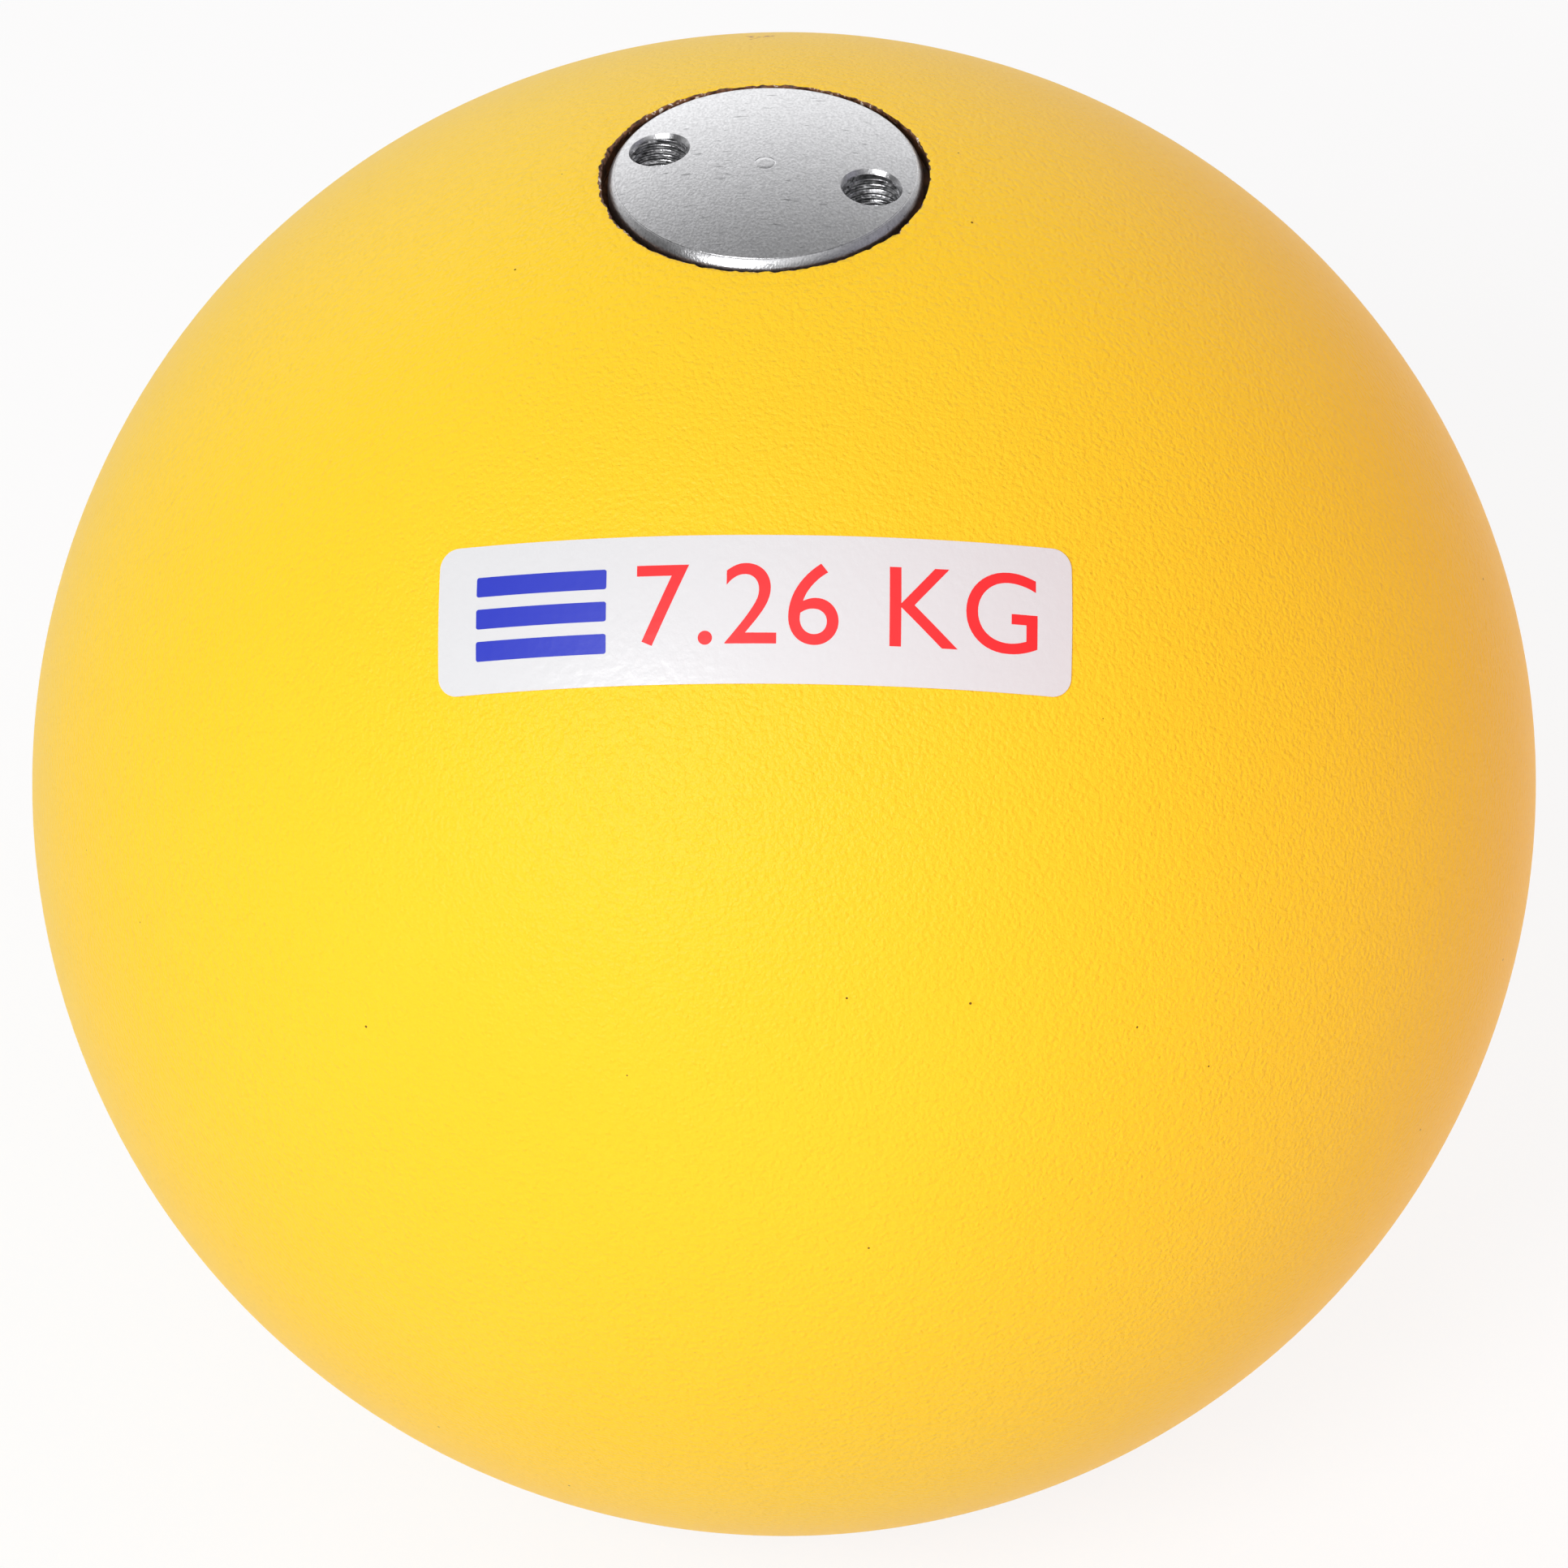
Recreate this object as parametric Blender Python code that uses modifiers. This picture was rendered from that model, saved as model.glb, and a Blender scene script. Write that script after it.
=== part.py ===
"""Shot put: a coated cast-iron ball with a screwed closing plug and lead ballast in its bore.

Metres, +Z up. The origin is the centre of the ball, +Z is the axis of the plug and of the bore
below it, and the label lies on the -Y side.
"""

import math

import bmesh
import bpy
from mathutils import Matrix, Vector

MM = 0.001

# Gaps that keep touching meshes apart, and how edges are welded and shaded
SEAT_GAP = 0.3 * MM
THREAD_GAP = 0.2 * MM
WELD_DISTANCE = 0.002 * MM
SHARP_ANGLE = math.radians(25.0)

# The ball and its coat
BALL_D = 126.0 * MM
COAT_THICKNESS = 0.4 * MM
BALL_STEPS = 40
BALL_RINGS = 20

# The thread of the plug: 3/4 inch parallel pipe thread
THREAD_D = 26.441 * MM
THREAD_PITCH = 1.814 * MM
THREAD_DEPTH = 1.162 * MM
THREAD_FLANK = math.radians(27.5)
THREAD_TURNS = 5
TAP_RELIEF = 0.3 * MM
TAP_RUNOUT = 1.2 * MM
TAP_LEAD_TURNS = 0.25
COIL_OVERLAP = 0.1 * MM
NECK_STEPS = 24

# The closing plug
MOUTH_STEP = 0.05 * MM
MOUTH_GAP = 0.72 * MM
DOME_R = 78.0 * MM
DOME_RINGS = 5
PLUG_CHAMFER = 0.6 * MM
RIM_HEIGHT = 1.5 * MM
THREAD_UNDERCUT = 0.5 * MM
CENTRE_MARK_D = 1.8 * MM
CENTRE_MARK_DEPTH = 0.4 * MM
SPANNER_HOLE_D = 5.0 * MM
SPANNER_HOLE_DEPTH = 9.0 * MM
SPANNER_WALL = 0.5 * MM
SPANNER_LINE = math.radians(-17.35)
SPANNER_STEPS = 16
DRILL_TIP = math.radians(31.0)

# The nose of the plug and its seal
CHAMBER_SHOULDER = 0.45 * MM
NOSE_GAP = 0.4 * MM
NOSE_LENGTH = 5.0 * MM
NOSE_CHAMFER = 0.4 * MM
RING_SECTION_D = 1.78 * MM
RING_GAP = 0.25 * MM
RING_FROM_END = 2.0 * MM
RING_STEPS = 8

# What fills the bore
CORK_THICKNESS = 3.4 * MM
CORK_CHAMFER = 0.4 * MM
BALLAST_LAYERS = 5
BALLAST_PER_LAYER = 3
BALLAST_SUBDIVISIONS = 2

# The label, measured along the curve of the ball
LABEL_LENGTH = 51.4 * MM
LABEL_HEIGHT = 12.0 * MM
LABEL_CORNER_R = 1.6 * MM
LABEL_THICKNESS = 0.12 * MM
LABEL_POLAR = math.radians(40.0)
LABEL_COLUMNS = 26
LABEL_ROWS = 6

# Sizes of the coated ball
ball_r = BALL_D / 2
coat_inner_r = ball_r - COAT_THICKNESS
iron_r = coat_inner_r - SEAT_GAP

# Radii of the thread and of the bore, from the plug's thread
thread_r = THREAD_D / 2
root_r = thread_r - THREAD_DEPTH
tap_r = root_r + TAP_RELIEF
groove_r = thread_r + THREAD_GAP
mouth_r = groove_r + MOUTH_STEP
chamber_r = tap_r - CHAMBER_SHOULDER
rim_r = mouth_r - MOUTH_GAP
nose_r = chamber_r - NOSE_GAP
spanner_r = SPANNER_HOLE_D / 2
spanner_circle_r = root_r - SPANNER_WALL - spanner_r

# The ridge of the thread is as wide at its crest as the groove is at its root
flank_slope = math.tan(THREAD_FLANK)
crest_half_width = THREAD_PITCH / 4 - THREAD_DEPTH * flank_slope / 2
foot_half_width = crest_half_width + THREAD_DEPTH * flank_slope

# Heights in the plug, whose own origin is on its axis at the underside of its rim
dome_edge_r = rim_r - PLUG_CHAMFER
dome_edge_z = RIM_HEIGHT + PLUG_CHAMFER
dome_centre_z = dome_edge_z - math.sqrt(DOME_R ** 2 - dome_edge_r ** 2)
dome_top_z = dome_centre_z + DOME_R
thread_start_z = -THREAD_UNDERCUT - foot_half_width - THREAD_TURNS * THREAD_PITCH
shank_end_z = thread_start_z - foot_half_width - THREAD_UNDERCUT
nose_end_z = shank_end_z - NOSE_LENGTH
groove_z = nose_end_z + RING_FROM_END

# The seal sits in the groove of the nose
ring_section_r = RING_SECTION_D / 2
ring_r = chamber_r - RING_GAP - ring_section_r
groove_floor_r = ring_r - ring_section_r - RING_GAP
groove_half_width = ring_section_r + RING_GAP

# Heights in the ball: the top of the plug is level with the crown of the coat
seat_z = ball_r - dome_top_z
mouth_floor_z = seat_z - SEAT_GAP
shoulder_z = seat_z + shank_end_z - TAP_RUNOUT
cork_top_z = seat_z + nose_end_z - SEAT_GAP

# Ballast balls that fill the bore, touching its wall and each other but for the seat gap
ring_share = 1 / math.sin(math.pi / BALLAST_PER_LAYER)
ballast_r = (chamber_r - SEAT_GAP * (1 + ring_share / 2)) / (1 + ring_share)
ballast_circle_r = chamber_r - SEAT_GAP - ballast_r
ballast_pitch = 2 * ballast_r + SEAT_GAP
side_step = 2 * ballast_circle_r * math.sin(math.pi / BALLAST_PER_LAYER / 2)
layer_step = math.sqrt(ballast_pitch ** 2 - side_step ** 2)
top_layer_z = cork_top_z - CORK_THICKNESS - SEAT_GAP - ballast_r
lowest_layer_z = top_layer_z - (BALLAST_LAYERS - 1) * layer_step
bore_tip_z = (
    lowest_layer_z
    - ballast_circle_r * math.tan(DRILL_TIP)
    - (ballast_r + SEAT_GAP) / math.cos(DRILL_TIP)
)
bore_end_z = bore_tip_z + chamber_r * math.tan(DRILL_TIP)


def clear_scene():
    """Start from nothing."""
    for obj in list(bpy.data.objects):
        bpy.data.objects.remove(obj)


def new_collection(name):
    collection = bpy.data.collections.new(name)
    bpy.context.scene.collection.children.link(collection)
    return collection


def finish(name, colour, roughness, metallic):
    """A plain material: linear colour, roughness and metallic value."""
    material = bpy.data.materials.new(name)
    material.use_nodes = True
    shader = material.node_tree.nodes["Principled BSDF"]
    shader.inputs["Base Color"].default_value = (*colour, 1.0)
    shader.inputs["Roughness"].default_value = roughness
    shader.inputs["Metallic"].default_value = metallic
    material.diffuse_color = (*colour, 1.0)
    return material


def add_object(name, mesh, collection, material=None):
    obj = bpy.data.objects.new(name, mesh)
    collection.objects.link(obj)
    if material:
        mesh.materials.append(material)
    return obj


def turned(name, profile, steps, collection, material=None):
    """A piece turned about Z from (radius, height) points that run down its outer side."""
    mesh = bpy.data.meshes.new(name)
    points = [(radius, 0.0, height) for radius, height in profile]
    mesh.from_pydata(points, [(i, i + 1) for i in range(len(points) - 1)], [])
    obj = add_object(name, mesh, collection, material)
    screw = obj.modifiers.new("turned", "SCREW")
    screw.axis = "Z"
    screw.steps = steps
    screw.render_steps = steps
    screw.use_merge_vertices = True
    screw.merge_threshold = WELD_DISTANCE
    return obj


def arc(radius, centre_z, start, end, count):
    """Points of an arc about a centre on Z, by angle from the upward axis."""
    angles = [start + (end - start) * i / count for i in range(count + 1)]
    return [(radius * math.sin(a), centre_z + radius * math.cos(a)) for a in angles]


def thread_coil(name, foot_r, crest_r, start_z, turns, side_gap, collection):
    """The plug's ridge, or one wider by side_gap, wound right-handed about Z from start_z upwards."""
    foot = crest_half_width + (thread_r - foot_r) * flank_slope + side_gap
    crest = crest_half_width + (thread_r - crest_r) * flank_slope + side_gap
    corners = [(foot_r, -foot), (crest_r, -crest), (crest_r, crest), (foot_r, foot)]
    bm = bmesh.new()
    verts = [bm.verts.new((radius, 0.0, start_z + height)) for radius, height in corners]
    face = bm.faces.new(verts)
    steps = round(turns * NECK_STEPS)
    bmesh.ops.spin(
        bm,
        geom=[face, *face.edges, *verts],
        cent=(0.0, 0.0, 0.0),
        axis=(0.0, 0.0, 1.0),
        dvec=(0.0, 0.0, THREAD_PITCH / NECK_STEPS),
        angle=steps * 2 * math.pi / NECK_STEPS,
        steps=steps,
    )
    bmesh.ops.recalc_face_normals(bm, faces=bm.faces[:])
    mesh = bpy.data.meshes.new(name)
    bm.to_mesh(mesh)
    bm.free()
    return add_object(name, mesh, collection)


def as_cutter(obj):
    obj.display_type = "WIRE"
    obj.hide_render = True
    return obj


def combine(obj, cutter, operation):
    """Join or cut a piece with a cutter."""
    boolean = obj.modifiers.new(cutter.name, "BOOLEAN")
    boolean.operation = operation
    boolean.solver = "EXACT"
    boolean.object = as_cutter(cutter)


def settle(obj):
    """Make the modified mesh real, weld what the cuts split, and shade it smooth but for its edges."""
    graph = bpy.context.evaluated_depsgraph_get()
    mesh = bpy.data.meshes.new_from_object(obj.evaluated_get(graph))
    obj.modifiers.clear()
    bm = bmesh.new()
    bm.from_mesh(mesh)
    bmesh.ops.remove_doubles(bm, verts=bm.verts[:], dist=WELD_DISTANCE)
    bmesh.ops.dissolve_degenerate(bm, edges=bm.edges[:], dist=WELD_DISTANCE)
    bm.to_mesh(mesh)
    bm.free()
    obj.data = mesh
    mesh.shade_smooth()
    mesh.set_sharp_from_angle(angle=SHARP_ANGLE)


def make_shell(parts, cutters, iron):
    """The casting: a ball with a counterbored mouth, a tapped neck and a drilled chamber."""
    shell = turned("shell_body", arc(iron_r, 0.0, 0.0, math.pi, BALL_RINGS), BALL_STEPS, parts, iron)
    above_ball_z = ball_r + RIM_HEIGHT
    bore = turned(
        "bore_drills",
        [
            (0.0, above_ball_z),
            (mouth_r, above_ball_z),
            (mouth_r, mouth_floor_z),
            (tap_r, mouth_floor_z),
            (tap_r, shoulder_z),
            (chamber_r, shoulder_z),
            (chamber_r, bore_end_z),
            (0.0, bore_tip_z),
        ],
        NECK_STEPS,
        cutters,
    )
    # The tap cuts the plug's own helix, wider by the thread gap, from just below it up through
    # the floor of the mouth.
    side_gap = THREAD_GAP / math.cos(THREAD_FLANK)
    start_z = seat_z + thread_start_z - TAP_LEAD_TURNS * THREAD_PITCH
    end_z = mouth_floor_z + foot_half_width + side_gap
    tap = thread_coil(
        "neck_tap",
        tap_r - COIL_OVERLAP,
        groove_r,
        start_z,
        (end_z - start_z) / THREAD_PITCH,
        side_gap,
        cutters,
    )
    tap.data.transform(Matrix.Rotation(-TAP_LEAD_TURNS * 2 * math.pi, 4, "Z"))
    combine(shell, bore, "DIFFERENCE")
    combine(shell, tap, "DIFFERENCE")
    settle(shell)
    return shell


def make_coat(parts, yellow):
    """The skin over the casting, cut back round the mouth."""
    walls = []
    for radius in (coat_inner_r, ball_r):
        upper = arc(radius, 0.0, math.asin(mouth_r / radius), math.pi / 2, BALL_RINGS // 2 - 1)
        lower = arc(radius, 0.0, math.pi / 2, math.pi, BALL_RINGS // 2)
        walls.append(upper + lower[1:])
    inner, outer = walls
    coat = turned("yellow_coat", inner[::-1] + outer, BALL_STEPS, parts, yellow)
    settle(coat)
    return coat


def make_plug(parts, cutters, steel, axis):
    """The closing plug: domed face, chamfered rim, threaded shank and grooved nose."""
    mark_r = CENTRE_MARK_D / 2
    dome = arc(
        DOME_R, dome_centre_z, math.asin(mark_r / DOME_R), math.asin(dome_edge_r / DOME_R), DOME_RINGS
    )
    profile = [
        (0.0, dome_top_z - CENTRE_MARK_DEPTH),
        *dome,
        (rim_r, RIM_HEIGHT),
        (rim_r, 0.0),
        (root_r, 0.0),
        (root_r, shank_end_z),
        (nose_r, shank_end_z),
        (nose_r, groove_z + groove_half_width),
        (groove_floor_r, groove_z + groove_half_width),
        (groove_floor_r, groove_z - groove_half_width),
        (nose_r, groove_z - groove_half_width),
        (nose_r, nose_end_z + NOSE_CHAMFER),
        (nose_r - NOSE_CHAMFER, nose_end_z),
        (0.0, nose_end_z),
    ]
    plug = turned("closing_plug", profile, NECK_STEPS, parts, steel)
    thread = thread_coil(
        "plug_thread",
        root_r - COIL_OVERLAP,
        thread_r,
        thread_start_z,
        THREAD_TURNS,
        0.0,
        cutters,
    )
    thread.parent = axis
    combine(plug, thread, "UNION")
    for side, turn in (("left", math.pi), ("right", 0.0)):
        drill = turned(
            f"spanner_drill_{side}",
            [
                (0.0, dome_top_z + RIM_HEIGHT),
                (spanner_r, dome_top_z + RIM_HEIGHT),
                (spanner_r, dome_top_z - SPANNER_HOLE_DEPTH),
                (0.0, dome_top_z - SPANNER_HOLE_DEPTH - spanner_r * math.tan(DRILL_TIP)),
            ],
            SPANNER_STEPS,
            cutters,
        )
        drill.parent = axis
        drill.location = Matrix.Rotation(SPANNER_LINE + turn, 3, "Z") @ Vector((spanner_circle_r, 0, 0))
        combine(plug, drill, "DIFFERENCE")
    plug.parent = axis
    bpy.context.view_layer.update()
    settle(plug)
    return plug


def make_seal(parts, rubber, axis):
    """The rubber ring in the groove of the nose."""
    bpy.ops.mesh.primitive_torus_add(
        major_segments=NECK_STEPS,
        minor_segments=RING_STEPS,
        major_radius=ring_r,
        minor_radius=ring_section_r,
    )
    seal = bpy.context.object
    seal.name = "plug_o_ring"
    for collection in seal.users_collection:
        collection.objects.unlink(seal)
    parts.objects.link(seal)
    seal.data.materials.append(rubber)
    seal.data.shade_smooth()
    seal.location.z = groove_z
    seal.parent = axis
    return seal


def make_cork(parts, cork):
    """The cork pad that the nose presses down on the ballast."""
    pad_r = chamber_r - SEAT_GAP
    half = CORK_THICKNESS / 2
    profile = [
        (0.0, half),
        (pad_r - CORK_CHAMFER, half),
        (pad_r, half - CORK_CHAMFER),
        (pad_r, CORK_CHAMFER - half),
        (pad_r - CORK_CHAMFER, -half),
        (0.0, -half),
    ]
    pad = turned("cork_pad", profile, NECK_STEPS, parts, cork)
    pad.location.z = cork_top_z - half
    settle(pad)
    return pad


def make_ballast(parts, lead):
    """Lead balls, three to a layer, each layer turned to lie in the gaps of the one below."""
    bm = bmesh.new()
    bmesh.ops.create_icosphere(bm, subdivisions=BALLAST_SUBDIVISIONS, radius=ballast_r)
    mesh = bpy.data.meshes.new("ballast_ball")
    bm.to_mesh(mesh)
    bm.free()
    mesh.materials.append(lead)
    mesh.shade_smooth()
    sector = 2 * math.pi / BALLAST_PER_LAYER
    balls = []
    for layer in range(BALLAST_LAYERS):
        for place in range(BALLAST_PER_LAYER):
            turn = sector * (place + layer / 2)
            ball = add_object(f"ballast_ball_{len(balls) + 1:02d}", mesh, parts)
            ball.location = (
                ballast_circle_r * math.cos(turn),
                ballast_circle_r * math.sin(turn),
                lowest_layer_z + layer * layer_step,
            )
            balls.append(ball)
    return balls


def make_label(parts, vinyl):
    """The label: a round-cornered strip wrapped on the coat, on the -Y side."""
    half_length = LABEL_LENGTH / 2
    half_height = LABEL_HEIGHT / 2
    bm = bmesh.new()
    bmesh.ops.create_grid(bm, x_segments=LABEL_COLUMNS, y_segments=LABEL_ROWS, size=1.0)
    radius = ball_r + SEAT_GAP
    for vert in bm.verts:
        # Columns crowd towards the ends, where the corners are
        along = half_length * math.sin(vert.co.x * math.pi / 2)
        into_corner = max(0.0, abs(along) - (half_length - LABEL_CORNER_R))
        corner_height = math.sqrt(max(0.0, LABEL_CORNER_R ** 2 - into_corner ** 2))
        up = vert.co.y * (half_height - LABEL_CORNER_R + corner_height)
        vert.co = radius * Vector(
            (
                math.cos(up / radius) * math.sin(along / radius),
                math.sin(up / radius),
                math.cos(up / radius) * math.cos(along / radius),
            )
        )
    mesh = bpy.data.meshes.new("label")
    bm.to_mesh(mesh)
    bm.free()
    label = add_object("label", mesh, parts, vinyl)
    sheet = label.modifiers.new("sheet", "SOLIDIFY")
    sheet.thickness = LABEL_THICKNESS
    sheet.offset = 1.0
    settle(label)
    label.rotation_euler.x = LABEL_POLAR
    return label


def main():
    clear_scene()
    parts = new_collection("shot_put")
    cutters = new_collection("cutters")
    iron = finish("cast_iron", (0.12, 0.11, 0.105), 0.62, 0.9)
    yellow = finish("yellow_enamel", (0.99, 0.66, 0.03), 0.42, 0.0)
    steel = finish("turned_steel", (0.55, 0.55, 0.56), 0.34, 1.0)
    rubber = finish("black_rubber", (0.02, 0.02, 0.02), 0.6, 0.0)
    cork = finish("cork", (0.45, 0.27, 0.13), 0.9, 0.0)
    lead = finish("lead", (0.2, 0.2, 0.22), 0.55, 0.9)
    vinyl = finish("white_vinyl", (0.9, 0.9, 0.9), 0.3, 0.0)

    axis = bpy.data.objects.new("plug_axis", None)
    axis.location.z = seat_z
    parts.objects.link(axis)

    make_shell(parts, cutters, iron)
    make_coat(parts, yellow)
    make_plug(parts, cutters, steel, axis)
    make_seal(parts, rubber, axis)
    make_cork(parts, cork)
    make_ballast(parts, lead)
    make_label(parts, vinyl)
    bpy.context.view_layer.update()


main()
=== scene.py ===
import math

import bmesh
import bpy
from mathutils import Matrix, Vector, noise


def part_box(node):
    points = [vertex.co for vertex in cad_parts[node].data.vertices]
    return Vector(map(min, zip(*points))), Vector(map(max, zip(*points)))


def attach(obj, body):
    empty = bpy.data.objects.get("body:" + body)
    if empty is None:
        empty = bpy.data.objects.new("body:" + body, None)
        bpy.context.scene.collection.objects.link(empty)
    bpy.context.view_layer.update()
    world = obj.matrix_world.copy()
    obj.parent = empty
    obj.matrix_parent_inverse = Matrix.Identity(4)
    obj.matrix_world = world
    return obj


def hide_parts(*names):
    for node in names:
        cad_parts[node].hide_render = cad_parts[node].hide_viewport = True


# The shot put: a cast-iron ball in textured yellow enamel, closed by a turned steel plug.
# Metres throughout. +Z is the axis of the plug, and the label is on the -Y side.

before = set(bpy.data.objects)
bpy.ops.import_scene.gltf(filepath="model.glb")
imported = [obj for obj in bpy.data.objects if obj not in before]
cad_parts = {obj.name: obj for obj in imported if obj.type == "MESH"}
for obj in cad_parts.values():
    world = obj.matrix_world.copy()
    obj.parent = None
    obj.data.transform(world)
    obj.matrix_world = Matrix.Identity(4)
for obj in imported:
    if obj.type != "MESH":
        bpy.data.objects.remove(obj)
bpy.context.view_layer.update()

MM = 0.001

# The ball, its coat and the hole that the plug sits in
BALL_R = 63.0 * MM
COAT_INNER_R = 62.36 * MM
IRON_R = 62.3 * MM
MOUTH_R = 13.47 * MM
COAT_EDGE_R = 13.44 * MM
EDGE_OFF_CENTRE = 0.11 * MM
EDGE_ZONE = 0.9 * MM
CLEAR_R = 13.27 * MM  # the plug's thread passes here on its way out
BITE_TURN = math.radians(-36.0)
BITE_HALF_WIDTH = math.radians(2.0)
FINE_FACES_R = 16.0 * MM
STAIN_LIMIT_R = 13.9 * MM
MOUTH_FLOOR_Z = 59.648 * MM
SEAT_Z = 59.948 * MM
TAP_DRILL_R = 12.36 * MM
CHAMBER_R = 11.91 * MM

# The torn wall of the coat, from its edge inwards: steps of inset, depth and raggedness, in
# millimetres, and a seed. Below them it is cut clean.
TORN_WALL = (
    (0.06, 0.03, 0.12, 2.0),
    (0.16, 0.08, 0.2, 3.0),
    (0.26, 0.16, 0.2, 4.0),
    (0.28, 0.42, 0.2, 5.0),
)
CLEAN_WALL_DEPTH = 0.72 * MM

# The plug: its domed face with a centre mark, its rim, and the shank with its pipe thread and nose
RIM_R = 12.75 * MM
RIM_TOP_Z = 61.05 * MM
RIM_BEVEL = 0.1 * MM
DOME_R = 78.0 * MM
DOME_EDGE_R = 12.15 * MM
DOME_STEPS = 14
MARK_R = 0.86 * MM
SHANK_R = 12.06 * MM
THREAD_CREST_R = 13.22 * MM
THREAD_PITCH = 1.814 * MM
THREAD_FLANK = math.radians(27.5)
NOSE_R = 11.51 * MM
NOSE_LENGTH = 5.0 * MM
NOSE_BEVEL = 0.4 * MM
GROOVE_R = 9.63 * MM
GROOVE_FROM_END = (0.86 * MM, 3.14 * MM)
UNDERCUT = 0.5 * MM
THREAD_GAP = 0.2 * MM
THREAD_OVERLAP = 0.1 * MM  # how far a thread's foot is sunk in the shank or the bore
THREAD_STEPS = 96

# The sharp ridge round the plug's face and the chamfer outside it: radius and height over the
# ball's middle, in millimetres
CHAMFER = (
    (12.18, 61.99),
    (12.24, 61.99),
    (12.29, 61.95),
    (12.48, 61.7),
    (12.67, 61.42),
    (12.73, 61.26),
)

# The two holes for a pin spanner: a fine 5 mm thread with a pitch of 0.5 mm
SPANNER_CIRCLE_R = 9.06 * MM
SPANNER_LINE = math.radians(-17.35)
SPANNER_DEPTH = 9.0 * MM
SPANNER_THREAD_R = 2.5 * MM
SPANNER_DRILL_R = 2.24 * MM
SPANNER_PITCH = 0.5 * MM
SPANNER_TURNS = 16

# The mouth of a spanner hole: radius and height over the plug's face, in millimetres
COUNTERSINK = (
    (2.75, 1.0),
    (2.75, 0.3),
    (2.52, 0.02),
    (2.46, -0.05),
    (2.28, -0.34),
)

# The label, measured along the ball, and what is printed on it
LABEL_LENGTH = 51.4 * MM
LABEL_HEIGHT = 12.0 * MM
LABEL_CORNER_R = 1.6 * MM
LABEL_THICKNESS = 0.1 * MM
LABEL_LIFT = 0.01 * MM
LABEL_POLAR = math.radians(40.0)  # between the plug's axis and the label's middle
INK_THICKNESS = 0.01 * MM
BAR_LENGTH = 10.8 * MM
BAR_HEIGHT = 1.6 * MM
BAR_CORNER_R = 0.2 * MM
BAR_SPACING = 2.6 * MM
BAR_X = -17.0 * MM
DIGIT_SIZE = 9.4 * MM
DIGITS_X = 6.9 * MM
BEND_STEP = 1.0 * MM

# Marks in the enamel: dust specks, in millimetres, the ring that the mask left, and a scuff
SPECK_EVERY = 5.5
SPECK_R = 0.11
MASK_RING_R = 14.8 * MM
SCUFF_PLACE = (-1.4 * MM, 28.9 * MM, 56.0 * MM)
SCUFF_R = 4.0 * MM

plug_low, plug_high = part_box("closing_plug")
NOSE_END_Z = plug_low.z
SHANK_END_Z = NOSE_END_Z + NOSE_LENGTH
PLUG_TOP_Z = plug_high.z


# Modelling by hand

def deselect_all():
    bpy.ops.object.select_all(action="DESELECT")


def take_up(piece):
    """Select one piece alone and make it the active one."""
    deselect_all()
    bpy.context.view_layer.objects.active = piece
    piece.select_set(True)


def open_piece(piece):
    """Go into edit mode on one piece."""
    take_up(piece)
    bpy.ops.object.mode_set(mode="EDIT")


def close_piece():
    bpy.ops.object.mode_set(mode="OBJECT")


def pick(piece, kind, wanted):
    """In edit mode, select the vertices or the faces whose middle passes a test."""
    bpy.ops.mesh.select_mode(type=kind)
    bpy.ops.mesh.select_all(action="DESELECT")
    shape = bmesh.from_edit_mesh(piece.data)
    parts = {"VERT": shape.verts, "FACE": shape.faces}[kind]
    for part in parts:
        corners = [part] if kind == "VERT" else part.verts
        middle = sum((corner.co for corner in corners), Vector()) / len(corners)
        if wanted(middle):
            part.select_set(True)
    bmesh.update_edit_mesh(piece.data)


def move_picked(piece, place):
    """In edit mode, move every selected vertex to where place(point) says."""
    shape = bmesh.from_edit_mesh(piece.data)
    for vert in shape.verts:
        if vert.select:
            vert.co = place(vert.co)
    bmesh.update_edit_mesh(piece.data)


def select_open_edges():
    """In edit mode, select the edges where a surface ends."""
    bpy.ops.mesh.select_mode(type="EDGE")
    bpy.ops.mesh.select_all(action="DESELECT")
    bpy.ops.mesh.select_non_manifold()


def cut_top(height):
    """In edit mode, cut away all that lies over a height."""
    bpy.ops.mesh.select_all(action="SELECT")
    bpy.ops.mesh.bisect(plane_co=(0, 0, height), plane_no=(0, 0, 1), clear_outer=True)


def across(point):
    """Distance from the plug's axis."""
    return math.hypot(point.x, point.y)


def heading(point):
    """Angle round the plug's axis."""
    return math.atan2(point.y, point.x)


def turned_to(angle, radius, height):
    """The point at an angle round the plug's axis."""
    return Vector((radius * math.cos(angle), radius * math.sin(angle), height))


def settle_place(piece):
    """Put a piece's own place and turn into its mesh."""
    take_up(piece)
    bpy.ops.object.transform_apply(location=True, rotation=True, scale=True)


def apply_modifiers(piece):
    take_up(piece)
    for modifier in list(piece.modifiers):
        bpy.ops.object.modifier_apply(modifier=modifier.name)


def clean_up(piece):
    """Merge doubled points and turn all faces outwards."""
    open_piece(piece)
    bpy.ops.mesh.select_mode(type="VERT")
    bpy.ops.mesh.select_all(action="SELECT")
    bpy.ops.mesh.remove_doubles(threshold=0.0005 * MM)
    bpy.ops.mesh.normals_make_consistent(inside=False)
    close_piece()


def smooth(piece, angle=30.0):
    take_up(piece)
    bpy.ops.object.shade_smooth_by_angle(angle=math.radians(angle))


def add_ball(name, radius, segments, place=(0, 0, 0)):
    deselect_all()
    bpy.ops.mesh.primitive_uv_sphere_add(
        segments=segments, ring_count=segments // 2, radius=radius, location=place
    )
    ball = bpy.context.object
    ball.name = name
    return ball


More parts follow.
